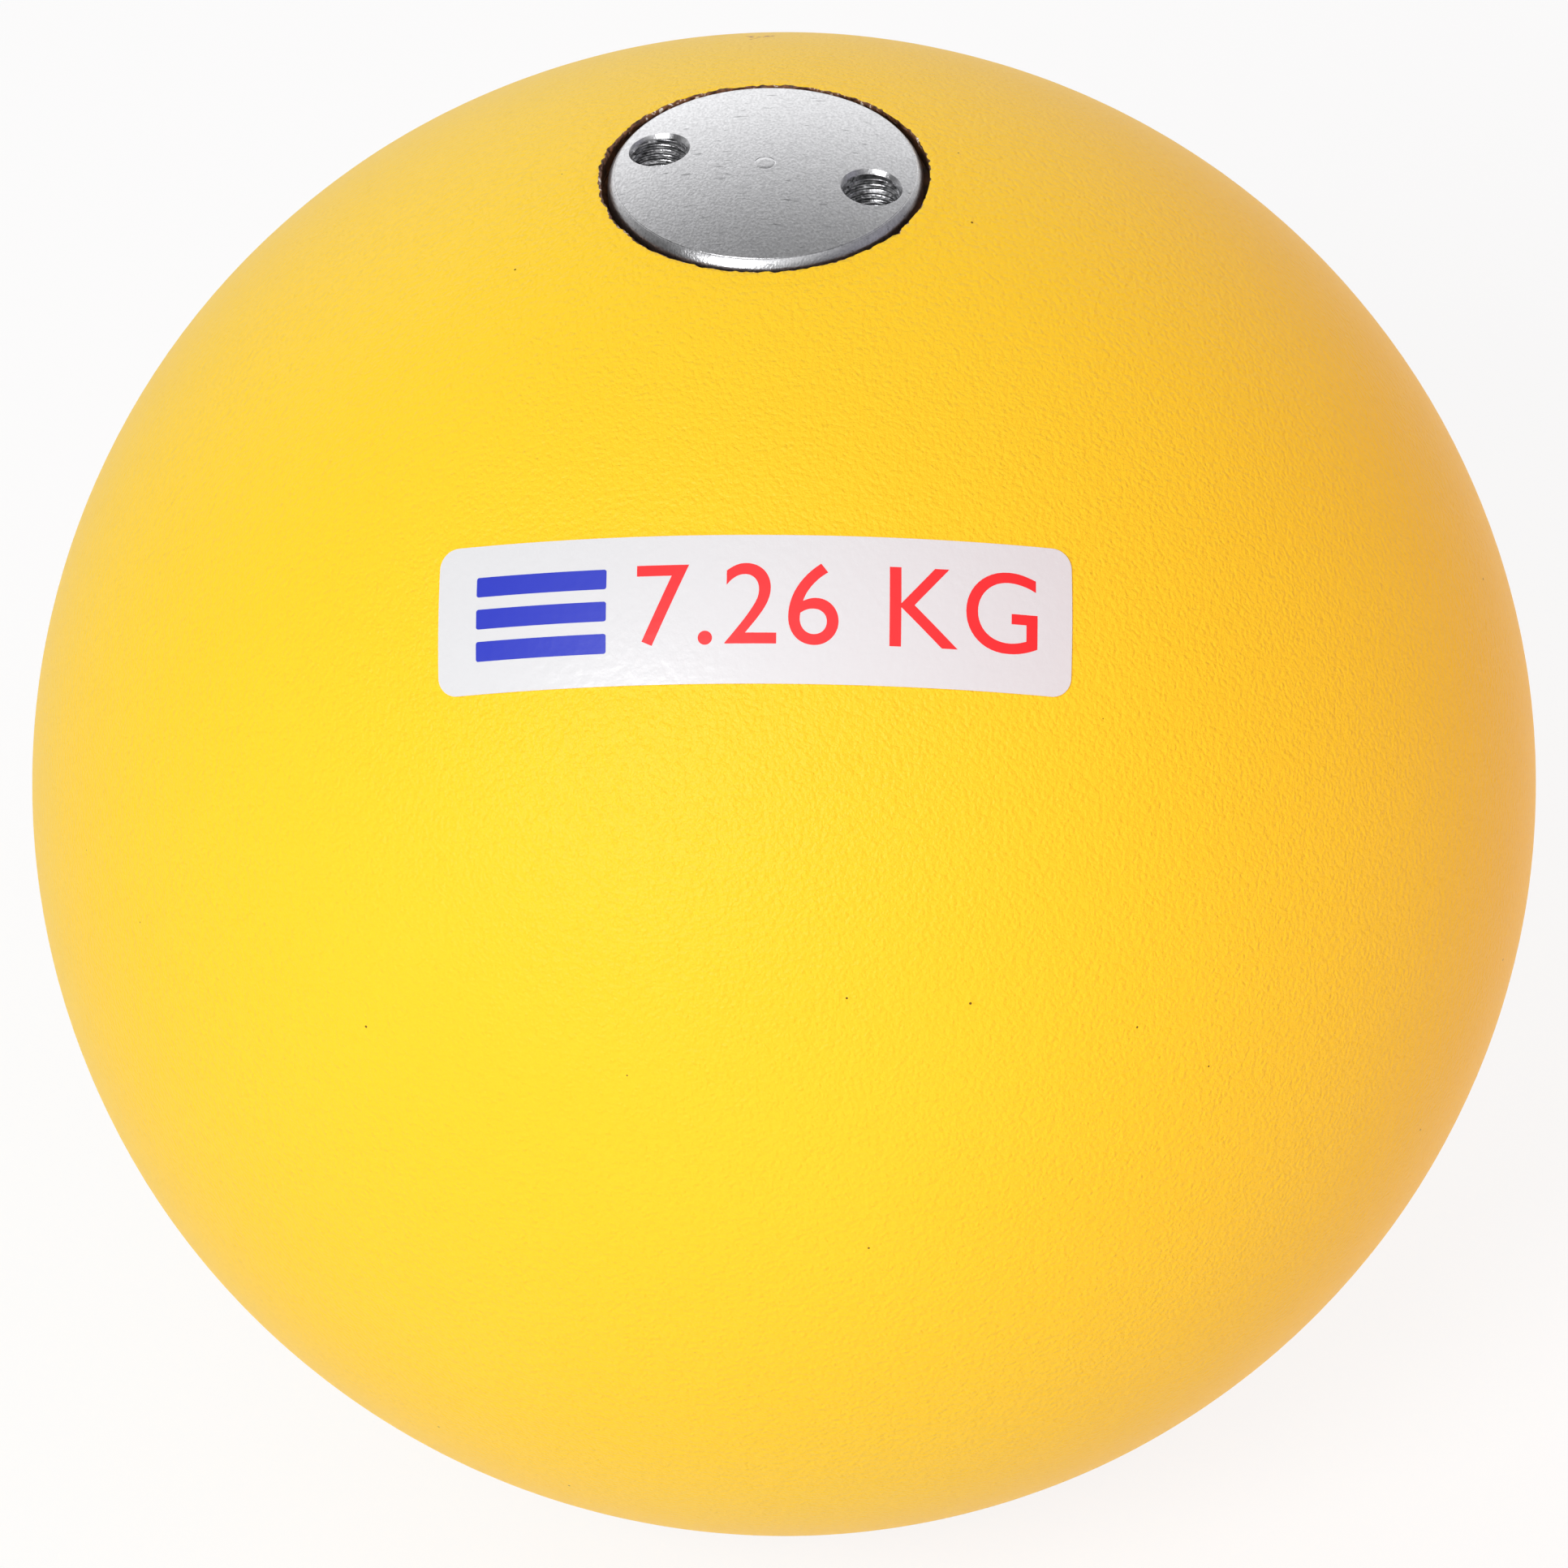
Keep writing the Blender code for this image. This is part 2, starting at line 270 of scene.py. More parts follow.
def turn_up(name, profile, segments):
    """A turned solid: a ring drawn from one (radius, height) to the next, with both ends filled."""
    deselect_all()
    radius, height = profile[0]
    bpy.ops.mesh.primitive_circle_add(
        vertices=segments, radius=radius, location=(0, 0, height), fill_type="NGON"
    )
    piece = bpy.context.object
    piece.name = name
    settle_place(piece)
    open_piece(piece)
    bpy.ops.mesh.select_mode(type="EDGE")
    bpy.ops.mesh.select_all(action="SELECT")
    bpy.ops.mesh.region_to_loop()
    for (radius, height), (next_radius, next_height) in zip(profile, profile[1:]):
        bpy.ops.mesh.extrude_edges_move(
            TRANSFORM_OT_translate={"value": (0, 0, next_height - height)}
        )
        ratio = next_radius / radius
        bpy.ops.transform.resize(value=(ratio, ratio, 1), center_override=(0, 0, 0))
    bpy.ops.mesh.edge_face_add()
    close_piece()
    clean_up(piece)
    return piece


def wind_coil(name, section, pitch, turns, start_z, steps):
    """A right-hand coil wound upwards from its (radius, height) cross-section."""
    deselect_all()
    bpy.ops.mesh.primitive_circle_add(vertices=len(section), radius=MM, fill_type="NOTHING")
    piece = bpy.context.object
    piece.name = name
    for vert, (radius, height) in zip(piece.data.vertices, section):
        vert.co = (radius, 0.0, start_z + height)
    screw = piece.modifiers.new("wind", "SCREW")
    screw.axis = "Z"
    screw.steps = steps
    screw.render_steps = steps
    screw.screw_offset = pitch
    screw.iterations = int(turns)
    apply_modifiers(piece)
    open_piece(piece)
    bpy.ops.mesh.select_all(action="SELECT")
    bpy.ops.mesh.fill_holes(sides=0)
    close_piece()
    clean_up(piece)
    return piece


def combine(piece, tool, operation):
    """Join a piece with another or cut it by one, which is then gone."""
    boolean = piece.modifiers.new("combine", "BOOLEAN")
    boolean.operation = operation
    boolean.solver = "EXACT"
    boolean.object = tool
    apply_modifiers(piece)
    bpy.data.objects.remove(tool)


def dome_height(radius):
    """Height of the plug's domed face at a distance from its axis."""
    return PLUG_TOP_Z - DOME_R + math.sqrt(DOME_R ** 2 - radius ** 2)


# Materials

def linear(hex_colour):
    """An sRGB colour such as "#F0A030" as linear red, green, blue and alpha."""
    values = [int(hex_colour[i:i + 2], 16) / 255 for i in (1, 3, 5)]
    return (*[v / 12.92 if v <= 0.04045 else ((v + 0.055) / 1.055) ** 2.4 for v in values], 1.0)


def new_material(name):
    material = bpy.data.materials.new(name)
    material.use_nodes = True
    return material, material.node_tree, material.node_tree.nodes["Principled BSDF"]


def add_node(tree, kind, inputs, **settings):
    """Add a node: settings are its properties, and inputs its sockets' values or links."""
    node = tree.nodes.new(kind)
    for name, value in settings.items():
        setattr(node, name, value)
    for name, value in inputs.items():
        if isinstance(value, bpy.types.NodeSocket):
            tree.links.new(value, node.inputs[name])
        else:
            node.inputs[name].default_value = value
    return node


def per_mm(size_mm):
    """Texture scale that gives cells of a size."""
    return 1.0 / (size_mm * MM)


def mix_colours(tree, share, first, second):
    """The first colour where the share is 0 and the second where it is 1."""
    mixed = add_node(
        tree, "ShaderNodeMix", {0: share, 6: first, 7: second}, data_type="RGBA"
    )
    return mixed.outputs[2]


# Textured enamel: a two-part enamel sprayed on the casting, which dries to fine pebbles about
# half a millimetre across. The eye gets a warm, saturated yellow, a broad soft sheen, fine shading
# on the side away from the light, a few dust specks, a faint ring where the mask stood, and a
# brown scuff behind the plug.

def textured_enamel():
    material, tree, shader = new_material("textured_enamel")
    place = add_node(tree, "ShaderNodeTexCoord", {}).outputs["Object"]
    drift = add_node(
        tree, "ShaderNodeTexNoise", {"Vector": place, "Scale": per_mm(34.0), "Detail": 2.0}
    )
    tone = mix_colours(tree, drift.outputs[0], linear("#FFCF27"), linear("#FFD42E"))
    dust = add_node(tree, "ShaderNodeTexVoronoi", {"Vector": place, "Scale": per_mm(SPECK_EVERY)})
    speck = add_node(
        tree,
        "ShaderNodeMath",
        {0: dust.outputs["Distance"], 1: SPECK_R / SPECK_EVERY},
        operation="LESS_THAN",
    )
    tone = mix_colours(tree, speck.outputs[0], tone, linear("#7A5212"))
    # The scuff: a few rubbed marks in one place behind the plug
    away = add_node(
        tree, "ShaderNodeVectorMath", {0: place, 1: SCUFF_PLACE}, operation="DISTANCE"
    )
    faded = add_node(
        tree,
        "ShaderNodeMapRange",
        {"Value": away.outputs["Value"], "From Max": SCUFF_R, "To Min": 0.16, "To Max": -0.3},
    )
    rubbed = add_node(
        tree, "ShaderNodeTexNoise", {"Vector": place, "Scale": per_mm(0.9), "Detail": 2.0}
    )
    rubbed = add_node(
        tree, "ShaderNodeMath", {0: rubbed.outputs[0], 1: faded.outputs[0]}, operation="ADD"
    )
    scuffed = add_node(
        tree, "ShaderNodeMapRange", {"Value": rubbed.outputs[0], "From Min": 0.6, "From Max": 0.7}
    )
    tone = mix_colours(tree, scuffed.outputs[0], tone, linear("#B0601A"))
    pebbles = add_node(
        tree,
        "ShaderNodeTexVoronoi",
        {"Vector": place, "Scale": per_mm(0.5), "Smoothness": 0.35},
        feature="SMOOTH_F1",
    )
    grit = add_node(
        tree, "ShaderNodeTexNoise", {"Vector": place, "Scale": per_mm(0.3), "Detail": 2.0}
    )
    height = add_node(
        tree,
        "ShaderNodeMath",
        {0: pebbles.outputs["Distance"], 1: -0.6, 2: grit.outputs[0]},
        operation="MULTIPLY_ADD",
    )
    # The ring: a shallow line at one distance from the axis
    flat = add_node(tree, "ShaderNodeVectorMath", {0: place, 1: (1, 1, 0)}, operation="MULTIPLY")
    reach = add_node(tree, "ShaderNodeVectorMath", {0: flat.outputs[0]}, operation="LENGTH")
    line = add_node(
        tree,
        "ShaderNodeMath",
        {0: reach.outputs["Value"], 1: MASK_RING_R, 2: 0.1 * MM},
        operation="COMPARE",
    )
    height = add_node(
        tree,
        "ShaderNodeMath",
        {0: line.outputs[0], 1: -0.25, 2: height.outputs[0]},
        operation="MULTIPLY_ADD",
    )
    bump = add_node(
        tree,
        "ShaderNodeBump",
        {"Height": height.outputs[0], "Strength": 1.0, "Distance": 0.13 * MM},
    )
    tree.links.new(tone, shader.inputs["Base Color"])
    tree.links.new(bump.outputs[0], shader.inputs["Normal"])
    shader.inputs["Roughness"].default_value = 0.4
    shader.inputs["IOR"].default_value = 1.5
    shader.inputs["Specular IOR Level"].default_value = 0.16
    return material


# Torn edge: where the enamel was cut round the plug, primer and rusty iron show. The eye gets a
# dark brown, broken line with a few specks of bare metal, painted near white as glints.

def torn_edge():
    material, tree, shader = new_material("torn_edge")
    place = add_node(tree, "ShaderNodeTexCoord", {}).outputs["Object"]
    patches = add_node(
        tree, "ShaderNodeTexNoise", {"Vector": place, "Scale": per_mm(0.45), "Detail": 3.0}
    )
    colours = add_node(tree, "ShaderNodeValToRGB", {"Fac": patches.outputs[0]})
    ramp = colours.color_ramp
    ramp.elements[0].position = 0.36
    ramp.elements[0].color = linear("#3C2417")
    ramp.elements[1].position = 0.6
    ramp.elements[1].color = linear("#8A5A3A")
    # Near-white flecks: painted glints, standing in for bare metal catching the light
    bare_metal_glint = ramp.elements.new(0.67)
    bare_metal_glint.color = linear("#F2E6D8")
    tree.links.new(colours.outputs[0], shader.inputs["Base Color"])
    bump = add_node(
        tree,
        "ShaderNodeBump",
        {"Height": patches.outputs[0], "Strength": 1.0, "Distance": 0.15 * MM},
    )
    tree.links.new(bump.outputs[0], shader.inputs["Normal"])
    shader.inputs["Roughness"].default_value = 0.55
    return material


# Turned steel: mild steel faced on a lathe and rubbed over with fine emery. The eye gets a grey
# satin sheen with a fine mottled grain and a few short dark scratches.

def turned_steel():
    material, tree, shader = new_material("turned_steel")
    place = add_node(tree, "ShaderNodeTexCoord", {}).outputs["Object"]
    stretched = add_node(
        tree, "ShaderNodeMapping", {"Vector": place, "Scale": (1.0, 0.7, 1.0)}
    )
    grain = add_node(
        tree,
        "ShaderNodeTexNoise",
        {"Vector": stretched.outputs[0], "Scale": per_mm(0.2), "Detail": 3.0},
    )
    drawn_out = add_node(
        tree, "ShaderNodeMapping", {"Vector": place, "Scale": (0.2, 1.0, 1.0)}
    )
    scratches = add_node(
        tree,
        "ShaderNodeTexNoise",
        {"Vector": drawn_out.outputs[0], "Scale": per_mm(0.28), "Detail": 1.0},
    )
    scratched = add_node(
        tree,
        "ShaderNodeMapRange",
        {"Value": scratches.outputs[0], "From Min": 0.69, "From Max": 0.77},
    )
    mottle = add_node(
        tree, "ShaderNodeMapRange", {"Value": grain.outputs[0], "From Min": 0.3, "From Max": 0.7}
    )
    shade = mix_colours(tree, mottle.outputs[0], linear("#B6B6B8"), linear("#D4D4D6"))
    shade = mix_colours(tree, scratched.outputs[0], shade, linear("#8C8C8E"))
    bump = add_node(
        tree,
        "ShaderNodeBump",
        {"Height": grain.outputs[0], "Strength": 1.0, "Distance": 0.022 * MM},
    )
    tree.links.new(shade, shader.inputs["Base Color"])
    tree.links.new(bump.outputs[0], shader.inputs["Normal"])
    shader.inputs["Metallic"].default_value = 1.0
    shader.inputs["Roughness"].default_value = 0.3
    return material


# Tapped steel: the same steel in the spanner holes. The eye gets bright crests, with dark patches
# of painted shade down in the deep holes.

def tapped_steel():
    material, tree, shader = new_material("tapped_steel")
    place = add_node(tree, "ShaderNodeTexCoord", {}).outputs["Object"]
    shade_patches = add_node(
        tree, "ShaderNodeTexNoise", {"Vector": place, "Scale": per_mm(0.5), "Detail": 3.0}
    )
    # The dark patches are painted shade inside the spanner holes
    painted_shade_share = add_node(
        tree, "ShaderNodeMapRange", {"Value": shade_patches.outputs[0], "From Min": 0.4, "From Max": 0.62}
    )
    shade = mix_colours(tree, painted_shade_share.outputs[0], linear("#8A8A8C"), linear("#DEDEE0"))
    bump = add_node(
        tree,
        "ShaderNodeBump",
        {"Height": shade_patches.outputs[0], "Strength": 1.0, "Distance": 0.08 * MM},
    )
    tree.links.new(shade, shader.inputs["Base Color"])
    tree.links.new(bump.outputs[0], shader.inputs["Normal"])
    shader.inputs["Metallic"].default_value = 1.0
    shader.inputs["Roughness"].default_value = 0.28
    return material


# Cast iron: grey iron from a sand mould, drilled and tapped. The eye gets a rough, dull, rusty
# brown.

def cast_iron():
    material, tree, shader = new_material("cast_iron")
    place = add_node(tree, "ShaderNodeTexCoord", {}).outputs["Object"]
    sand = add_node(
        tree, "ShaderNodeTexNoise", {"Vector": place, "Scale": per_mm(1.2), "Detail": 5.0}
    )
    colours = add_node(tree, "ShaderNodeValToRGB", {"Fac": sand.outputs[0]})
    ramp = colours.color_ramp
    ramp.elements[0].position = 0.35
    ramp.elements[0].color = linear("#4A3224")
    ramp.elements[1].position = 0.7
    ramp.elements[1].color = linear("#8A5A36")
    tree.links.new(colours.outputs[0], shader.inputs["Base Color"])
    bump = add_node(
        tree,
        "ShaderNodeBump",
        {"Height": sand.outputs[0], "Strength": 0.8, "Distance": 0.1 * MM},
    )
    tree.links.new(bump.outputs[0], shader.inputs["Normal"])
    shader.inputs["Roughness"].default_value = 0.7
    shader.inputs["Metallic"].default_value = 0.3
    return material


# Materials that differ only in their values. Nitrile rubber is moulded and a dull black. Pressed
# cork is glued grains, light brown, coarse and without gloss. Cast lead is a soft grey metal with
# an uneven skin. Gloss vinyl is a printed film, near white, with a clear gloss. The two inks on it
# are a plain red and a plain blue.

def plain_material(name, colour, roughness, metallic=0.0, grain_mm=1.0, depth_mm=0.02):
    material, tree, shader = new_material(name)
    place = add_node(tree, "ShaderNodeTexCoord", {}).outputs["Object"]
    grain = add_node(
        tree, "ShaderNodeTexNoise", {"Vector": place, "Scale": per_mm(grain_mm), "Detail": 3.0}
    )
    bump = add_node(
        tree,
        "ShaderNodeBump",
        {"Height": grain.outputs[0], "Strength": 1.0, "Distance": depth_mm * MM},
    )
    tree.links.new(bump.outputs[0], shader.inputs["Normal"])
    shader.inputs["Base Color"].default_value = linear(colour)
    shader.inputs["Roughness"].default_value = roughness
    shader.inputs["Metallic"].default_value = metallic
    return material


enamel = textured_enamel()
edge = torn_edge()
steel = turned_steel()
# Steel for the spanner holes, with painted shade
hole_steel_painted_shade = tapped_steel()
iron = cast_iron()
rubber = plain_material("nitrile_rubber", "#1A1A1A", 0.55)
cork = plain_material("pressed_cork", "#B98A5C", 0.85, grain_mm=1.5, depth_mm=0.3)
lead = plain_material("cast_lead", "#6C6E72", 0.5, metallic=1.0, grain_mm=2.0, depth_mm=0.05)
vinyl = plain_material("gloss_vinyl", "#E0E0E2", 0.25, grain_mm=0.8, depth_mm=0.04)
red_ink = plain_material("red_ink", "#F5262B", 0.3)
blue_ink = plain_material("blue_ink", "#2F3CC0", 0.3)


def finish_piece(piece, body, slot, material, *nodes):
    """Give a piece its material and say what it rides on and stands for."""
    if material is not None:
        piece.data.materials.clear()
        piece.data.materials.append(material)
    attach(piece, body)
    if nodes:
        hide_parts(*nodes)
    return piece


# The coat

MOUTH_Z = math.sqrt(BALL_R ** 2 - COAT_EDGE_R ** 2)


def ragged(angle, reach, seed):
    """A broken line round the hole: a slow wander, small bites and fine teeth."""
    round_it = Vector((math.cos(angle), math.sin(angle), seed))
    slow = noise.noise(round_it * 2.3)
    bites = noise.noise(round_it * 13.0 + Vector((0, 0, 5)))
    teeth = noise.noise(round_it * 30.0 + Vector((0, 0, 9)))
    return reach * (0.25 * slow + 0.5 * bites + 0.4 * teeth)


def edge_radius(angle):
    """Where the enamel ends: cut a little off centre, torn, with one larger bite."""
    bite = 0.3 * MM * math.exp(-(((angle - BITE_TURN) / BITE_HALF_WIDTH) ** 2))
    radius = COAT_EDGE_R - EDGE_OFF_CENTRE * math.cos(angle) + bite + ragged(angle, 0.4 * MM, 1.0)
    return max(radius, CLEAR_R)


def coat_surface(point):
    """Draw the rows next to the hole along with its torn edge, and leave the ball a little uneven."""
    angle = heading(point)
    radius = across(point)
    if point.z > 0 and radius < COAT_EDGE_R + EDGE_ZONE:
        share = 1 - (radius - COAT_EDGE_R) / EDGE_ZONE
        radius += share * (edge_radius(angle) - COAT_EDGE_R)
        point = turned_to(angle, radius, math.sqrt(BALL_R ** 2 - radius ** 2))
    wave = noise.noise(point * 90.0) * 0.02 * MM
    return point.normalized() * (BALL_R - 0.02 * MM + wave)


def torn_wall_point(angle, inset, depth, reach, seed):
    """A point of the torn wall, from a row of its table."""
    radius = edge_radius(angle) - inset * MM + ragged(angle, reach * MM, seed)
    height = MOUTH_Z - depth * MM + ragged(angle, 0.3 * reach * MM, seed + 20)
    return turned_to(angle, max(radius, CLEAR_R), height)


def clean_wall_point(angle):
    return turned_to(angle, MOUTH_R, MOUTH_Z - CLEAN_WALL_DEPTH)


def draw_wall(coat):
    """In edit mode, draw the cut wall of the coat down from its edge, torn first and then clean."""
    select_open_edges()
    down = {"value": (0, 0, -0.05 * MM)}
    for row in TORN_WALL:
        bpy.ops.mesh.extrude_edges_move(TRANSFORM_OT_translate=down)
        move_picked(coat, lambda point: torn_wall_point(heading(point), *row))
    bpy.ops.mesh.extrude_edges_move(TRANSFORM_OT_translate=down)
    move_picked(coat, lambda point: clean_wall_point(heading(point)))


def stain_edge(coat):
    """Give the torn wall its own material, a broken hair's breadth on to the enamel."""
    for face in coat.data.polygons:
        middle = face.center
        if across(middle) > STAIN_LIMIT_R or middle.z < 0:
            continue
        angle = heading(middle)
        stain = 0.05 * MM + noise.noise(turned_to(angle, 12.0, 7.0)) * 0.12 * MM
        torn = middle.length < BALL_R - 0.06 * MM
        if torn or across(middle) < edge_radius(angle) + stain:
            face.material_index = 1


def make_coat():
    coat = add_ball("enamel_coat", BALL_R, 256)
    open_piece(coat)
    cut_top(MOUTH_Z)
    # Finer faces near the hole
    pick(coat, "FACE", lambda p: p.z > 0 and across(p) < FINE_FACES_R)
    bpy.ops.mesh.subdivide(number_cuts=2, smoothness=0)
    pick(coat, "VERT", lambda p: True)
    move_picked(coat, coat_surface)
    draw_wall(coat)
    close_piece()
    # The inner skin
    inner = add_ball("coat_inside", COAT_INNER_R, 128)
    open_piece(inner)
    cut_top(math.sqrt(COAT_INNER_R ** 2 - (MOUTH_R + 0.2 * MM) ** 2))
    close_piece()
    take_up(coat)
    inner.select_set(True)
    bpy.ops.object.join()
    open_piece(coat)
    select_open_edges()
    bpy.ops.mesh.bridge_edge_loops()
    close_piece()
    clean_up(coat)
    smooth(coat, 50.0)
    coat.data.materials.append(enamel)
    coat.data.materials.append(edge)
    stain_edge(coat)
    return finish_piece(coat, "ball", "yellow_enamel", None, "yellow_coat")


# The casting, with its tapped neck and drilled chamber

def thread_section(foot_r, crest_r, gap):
    """Cross-section of the pipe thread's ridge, or of the groove that it runs in."""
    slope = math.tan(THREAD_FLANK)
    crest_half = THREAD_PITCH / 4 - (THREAD_CREST_R - SHANK_R) * slope / 2
    foot = crest_half + (THREAD_CREST_R - foot_r) * slope + gap
    crest = crest_half + (THREAD_CREST_R - crest_r) * slope + gap
    soft = 0.12 * MM
    return [
        (foot_r, -foot),
        (crest_r - soft, -crest - soft * slope),
        (crest_r, -crest + soft / 2),
        (crest_r, crest - soft / 2),
        (crest_r - soft, crest + soft * slope),
        (foot_r, foot),
    ]


foot_half = THREAD_PITCH / 4 + (THREAD_CREST_R - SHANK_R) * math.tan(THREAD_FLANK) / 2
thread_start_z = SHANK_END_Z + UNDERCUT + foot_half
thread_turns = round((SEAT_Z - UNDERCUT - foot_half - thread_start_z) / THREAD_PITCH)


def make_casting():
    casting = add_ball("iron_casting", IRON_R, 128)
    shoulder_z = SHANK_END_Z - 1.2 * MM
    lowest = min(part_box(name)[0].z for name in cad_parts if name.startswith("ballast"))
    bore = turn_up(
        "bore",
        [
            (MOUTH_R, BALL_R + 1.0 * MM),
            (MOUTH_R, MOUTH_FLOOR_Z),
            (TAP_DRILL_R, MOUTH_FLOOR_Z - 0.4 * MM),
            (TAP_DRILL_R, shoulder_z),
            (CHAMBER_R, shoulder_z - 0.2 * MM),
            (CHAMBER_R, lowest + 2.0 * MM),
            (0.5 * MM, lowest - 5.0 * MM),
        ],
        144,
    )
    combine(casting, bore, "DIFFERENCE")
    tap = wind_coil(
        "tap",
        thread_section(TAP_DRILL_R - THREAD_OVERLAP, THREAD_CREST_R + THREAD_GAP, THREAD_GAP),
        THREAD_PITCH,
        thread_turns + 1,
        thread_start_z,
        THREAD_STEPS,
    )
    combine(casting, tap, "DIFFERENCE")
    clean_up(casting)
    smooth(casting)
    return finish_piece(casting, "ball", "cast_iron", iron, "shell_body")


# The closing plug

def spanner_tool(turn):
    """A threaded drill with a small countersink, for one spanner hole."""
    face_z = dome_height(SPANNER_CIRCLE_R)
    drill = turn_up(
        "drill",
        [
            *[(radius * MM, face_z + height * MM) for radius, height in COUNTERSINK],
            (SPANNER_DRILL_R, face_z - 0.4 * MM),
            (SPANNER_DRILL_R, face_z - SPANNER_DEPTH),
            (0.2 * MM, face_z - SPANNER_DEPTH - 1.2 * MM),
        ],
        64,
    )
    # The countersink follows the dome
    for vert in drill.data.vertices:
        if vert.co.z > face_z - 0.5 * MM:
            vert.co.z += dome_height(SPANNER_CIRCLE_R + vert.co.x) - face_z
    foot_r = SPANNER_DRILL_R - 0.06 * MM
    ridge_half = SPANNER_PITCH * 0.46
    flank_r = SPANNER_THREAD_R - 0.04 * MM
    flank_half = 0.07 * MM
    coil = wind_coil(
        "coil",
        [
            (foot_r, -ridge_half),
            (flank_r, -flank_half),
            (SPANNER_THREAD_R, 0.0),
            (flank_r, flank_half),
            (foot_r, ridge_half),
        ],
        SPANNER_PITCH,
        SPANNER_TURNS,
        face_z - 8.6 * MM,
        48,
    )
    # A hand tap leaves some of the ridges a little torn
    for vert in coil.data.vertices:
        dent = noise.noise(vert.co * 1500.0) * 0.05 * MM
        vert.co += Vector((vert.co.x, vert.co.y, 0)).normalized() * min(dent, 0.0)
    combine(drill, coil, "UNION")
    for vert in drill.data.vertices:
        vert.co = Matrix.Rotation(turn, 3, "Z") @ (vert.co + Vector((SPANNER_CIRCLE_R, 0, 0)))
    return drill


def shade_spanner_holes(plug):
    """Give the walls of the spanner holes, below their countersinks, the plug's second material,
    which paints shade into them.
    """
    for side in (1, -1):
        axis = turned_to(SPANNER_LINE, side * SPANNER_CIRCLE_R, 0.0)
        for face in plug.data.polygons:
            inside = across(face.center - axis) < SPANNER_THREAD_R + 0.01 * MM
            if inside and face.center.z < dome_height(across(face.center)) - 0.36 * MM:
                face.material_index = 1


def make_plug():
    face = [
        MARK_R + (DOME_EDGE_R - MARK_R) * i / DOME_STEPS for i in range(DOME_STEPS + 1)
    ]
    groove_low, groove_high = (NOSE_END_Z + height for height in GROOVE_FROM_END)
    profile = [
        (MARK_R - 0.5 * MM, PLUG_TOP_Z - 0.015 * MM),
        (MARK_R - 0.12 * MM, PLUG_TOP_Z - 0.015 * MM),
        (MARK_R - 0.05 * MM, PLUG_TOP_Z - 0.035 * MM),
        *[(radius, dome_height(radius)) for radius in face],
        *[(radius * MM, height * MM) for radius, height in CHAMFER],
        (RIM_R, RIM_TOP_Z),
        (RIM_R, SEAT_Z + RIM_BEVEL),
        (RIM_R - RIM_BEVEL, SEAT_Z),
        (SHANK_R, SEAT_Z),
        (SHANK_R, SHANK_END_Z),
        (NOSE_R, SHANK_END_Z),
        (NOSE_R, groove_high),
        (GROOVE_R, groove_high),
        (GROOVE_R, groove_low),
        (NOSE_R, groove_low),
        (NOSE_R, NOSE_END_Z + NOSE_BEVEL),
        (NOSE_R - NOSE_BEVEL, NOSE_END_Z),
    ]
    plug = turn_up("plug_steel", profile, 288)
    # Burrs along the ridge between the face and the chamfer, which catch the light
    open_piece(plug)
    pick(plug, "VERT", lambda p: p.z > 61.9 * MM and across(p) > DOME_EDGE_R - 0.01 * MM)

    def raise_burrs(point):
        burr = noise.noise(point * 2500.0) * 0.02 * MM
        return point + Vector((0, 0, min(burr, PLUG_TOP_Z - point.z)))

    move_picked(plug, raise_burrs)
    close_piece()
    thread = wind_coil(
        "thread",
        thread_section(SHANK_R - THREAD_OVERLAP, THREAD_CREST_R, 0.0),
        THREAD_PITCH,
        thread_turns,
        thread_start_z,
        THREAD_STEPS,
    )
    combine(plug, thread, "UNION")
    for turn in (SPANNER_LINE, SPANNER_LINE + math.pi):
        combine(plug, spanner_tool(turn), "DIFFERENCE")
    clean_up(plug)
    smooth(plug)
    plug.data.materials.clear()
    plug.data.materials.append(steel)
    # The second material paints shade into the spanner holes
    plug.data.materials.append(hole_steel_painted_shade)
    shade_spanner_holes(plug)
    return finish_piece(plug, "plug", "turned_steel", None, "closing_plug")


# What is sealed inside

def make_seal():
    low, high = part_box("plug_o_ring")
    section_r = (high.z - low.z) / 2
    deselect_all()
    bpy.ops.mesh.primitive_torus_add(
        major_segments=96,
        minor_segments=20,
        major_radius=high.x - section_r,
        minor_radius=section_r,
        location=(0, 0, (high.z + low.z) / 2),
    )
    seal = bpy.context.object
    seal.name = "seal_ring"
    settle_place(seal)
    smooth(seal)
    return finish_piece(seal, "seal", "black_rubber", rubber, "plug_o_ring")


def make_cork():
    low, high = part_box("cork_pad")
    radius = high.x
    # The edges are rounded, through one point half way round each
    edge_r = 0.4 * MM
    half_in = 0.1 * MM
    half_up = 0.12 * MM
    pad = turn_up(
        "cork_disc",
        [
            (radius - edge_r, low.z),
            (radius - half_in, low.z + half_up),
            (radius, low.z + edge_r),
            (radius, high.z - edge_r),
            (radius - half_in, high.z - half_up),
            (radius - edge_r, high.z),
        ],
        96,
    )
    smooth(pad)
    return finish_piece(pad, "ball", "cork", cork, "cork_pad")


def make_ballast():
    names = sorted(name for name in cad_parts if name.startswith("ballast_ball"))
    for name in names:
        low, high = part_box(name)
        lead_name = name.replace("ballast_ball", "lead_ball")
        ball = add_ball(lead_name, (high.z - low.z) / 2, 48, (low + high) / 2)
        settle_place(ball)
        smooth(ball)
        finish_piece(ball, "ball", "lead", lead, name)


# The label

def cut_to_bend(piece):
    """Cut a flat piece on the label into small faces, so that it can bend."""
    open_piece(piece)
    for plane_no, size in (((1, 0, 0), LABEL_LENGTH), ((0, 1, 0), LABEL_HEIGHT)):
        count = int(size / 2 / BEND_STEP)
        for i in range(-count, count + 1):
            bpy.ops.mesh.select_all(action="SELECT")
            place = tuple(axis * i * BEND_STEP for axis in plane_no)
            bpy.ops.mesh.bisect(plane_co=place, plane_no=plane_no)
    close_piece()


